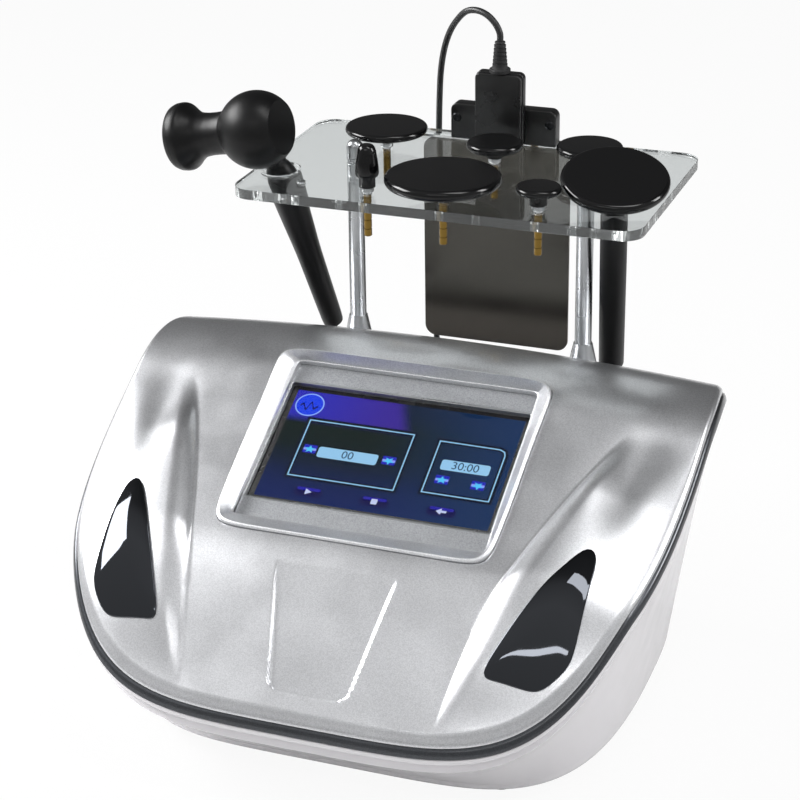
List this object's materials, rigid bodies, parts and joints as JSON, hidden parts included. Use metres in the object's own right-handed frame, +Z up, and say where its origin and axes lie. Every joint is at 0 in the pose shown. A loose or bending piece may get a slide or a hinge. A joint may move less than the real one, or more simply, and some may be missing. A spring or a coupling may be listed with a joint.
{
  "type": "facial toning device",
  "caption": "Desktop facial toning machine with a tilted touch screen and a clear shelf that carries two hand pieces, plug-in tips and a return plate.",
  "frame": {"origin": "on the table, in the middle of the four rubber feet", "axes": "+X to the operator's right, +Y from the screen to the back panel, +Z up"},
  "size_m": [0.388, 0.4112, 0.3981],
  "materials": {
    "white_abs": "moulded, satin gloss",
    "grey_abs": "moulded, satin",
    "silver_abs": "silver paint under clear lacquer",
    "frame_abs": "pale silver paint",
    "mask_abs": "grey, satin",
    "display": "lit liquid crystal panel",
    "touch_glass": "clear, smooth",
    "circuit_board": "green lacquer",
    "chrome_plate": "mirror plated",
    "foot_rubber": "moulded",
    "screw_steel": "zinc plated",
    "brass_fittings": "turned",
    "panel_paint": "dark grey powder coat",
    "black_abs": "black, satin",
    "rocker_red": "red, clear",
    "socket_nylon": "moulded",
    "guard_wire": "plated wire",
    "clear_acrylic": "polished edges",
    "post_chrome": "polished",
    "tip_black": "turned and polished",
    "pin_brass": "gold plated",
    "grip_black": "moulded, glossy",
    "cord_rubber": "smooth",
    "plate_steel": "fine brushed"
  },
  "bodies": {
    "machine": {"lower_housing": "white_abs", "trim_band": "grey_abs", "top_cover": "silver_abs", "screen_bezel": "frame_abs", "screen_mask": "mask_abs", "lcd_panel": "display", "touch_glass": "touch_glass", "display_board": "circuit_board", "pod_inlay_left": "chrome_plate", "pod_inlay_right": "chrome_plate", "rubber_feet": "foot_rubber", "housing_screws": "screw_steel", "cover_columns": "brass_fittings", "rear_panel": "panel_paint", "rear_panel_screws": "screw_steel", "power_inlet": "black_abs", "rocker_frame": "black_abs", "output_sockets": "socket_nylon", "fan_frame": "black_abs", "fan_guard": "guard_wire", "board_standoffs": "brass_fittings", "power_supply": "circuit_board", "rf_board": "circuit_board", "control_board": "circuit_board", "shelf_plate": "clear_acrylic", "shelf_posts": "post_chrome", "post_feet": "post_chrome", "post_caps": "post_chrome", "post_nuts": "screw_steel", "return_cord": "cord_rubber", "return_cord_coil": "cord_rubber", "return_cord_tail": "cord_rubber", "return_connector": "cord_rubber"},
    "left_hand_piece": {"left_handle_grip": "grip_black", "left_handle_head": "grip_black", "left_handle_gland": "cord_rubber"},
    "right_hand_piece": {"right_handle_grip": "grip_black", "right_handle_disc": "grip_black", "right_handle_gland": "cord_rubber"},
    "return_electrode": {"return_plate": "plate_steel", "return_bracket": "black_abs", "bracket_screws": "screw_steel", "return_plug_block": "black_abs", "return_boot": "cord_rubber"},
    "fuse_drawer": {"fuse_drawer": "black_abs"},
    "rocker": {"rocker_switch": "rocker_red"},
    "fan_rotor": {"fan_rotor": "black_abs"},
    "tip_cone": {"tip_cone_head": "tip_black", "tip_cone_pin": "pin_brass"},
    "tip_large": {"tip_large_head": "tip_black", "tip_large_pin": "pin_brass"},
    "tip_small": {"tip_small_head": "tip_black", "tip_small_pin": "pin_brass"},
    "tip_left_rear": {"tip_left_rear_head": "tip_black", "tip_left_rear_pin": "pin_brass"},
    "tip_middle_rear": {"tip_middle_rear_head": "tip_black", "tip_middle_rear_pin": "pin_brass"},
    "tip_right_rear": {"tip_right_rear_head": "tip_black", "tip_right_rear_pin": "pin_brass"}
  },
  "joints": [
    {"name": "rocker_pivot", "type": "hinge", "parent": "machine", "child": "rocker", "pos_m": [0.044, 0.159, 0.068], "axis": [1, 0, 0], "range_deg": [0, 12]},
    {"name": "fuse_drawer_slide", "type": "slide", "parent": "machine", "child": "fuse_drawer", "axis": [0, 1, 0], "range_m": [0, 0.015]},
    {"name": "fan_spin", "type": "hinge", "parent": "machine", "child": "fan_rotor", "pos_m": [-0.062, 0.15, 0.076], "axis": [0, 1, 0], "continuous": true},
    {"name": "tip_cone_lift", "type": "slide", "parent": "machine", "child": "tip_cone", "axis": [0, 0, 1], "range_m": [0, 0.032]},
    {"name": "tip_large_lift", "type": "slide", "parent": "machine", "child": "tip_large", "axis": [0, 0, 1], "range_m": [0, 0.032]},
    {"name": "tip_small_lift", "type": "slide", "parent": "machine", "child": "tip_small", "axis": [0, 0, 1], "range_m": [0, 0.032]},
    {"name": "tip_left_rear_lift", "type": "slide", "parent": "machine", "child": "tip_left_rear", "axis": [0, 0, 1], "range_m": [0, 0.032]},
    {"name": "tip_middle_rear_lift", "type": "slide", "parent": "machine", "child": "tip_middle_rear", "axis": [0, 0, 1], "range_m": [0, 0.032]},
    {"name": "tip_right_rear_lift", "type": "slide", "parent": "machine", "child": "tip_right_rear", "axis": [0, 0, 1], "range_m": [0, 0.032]},
    {"name": "left_hand_piece_lift", "type": "slide", "parent": "machine", "child": "left_hand_piece", "axis": [-0.0662, -0.4289, 0.9009], "range_m": [0, 0.06]},
    {"name": "right_hand_piece_lift", "type": "slide", "parent": "machine", "child": "right_hand_piece", "axis": [0.0912, -0.3567, 0.9297], "range_m": [0, 0.06]},
    {"name": "return_electrode_lift", "type": "slide", "parent": "machine", "child": "return_electrode", "axis": [0, 0, 1], "range_m": [0, 0.06], "deforming": ["return_cord"]}
  ]
}
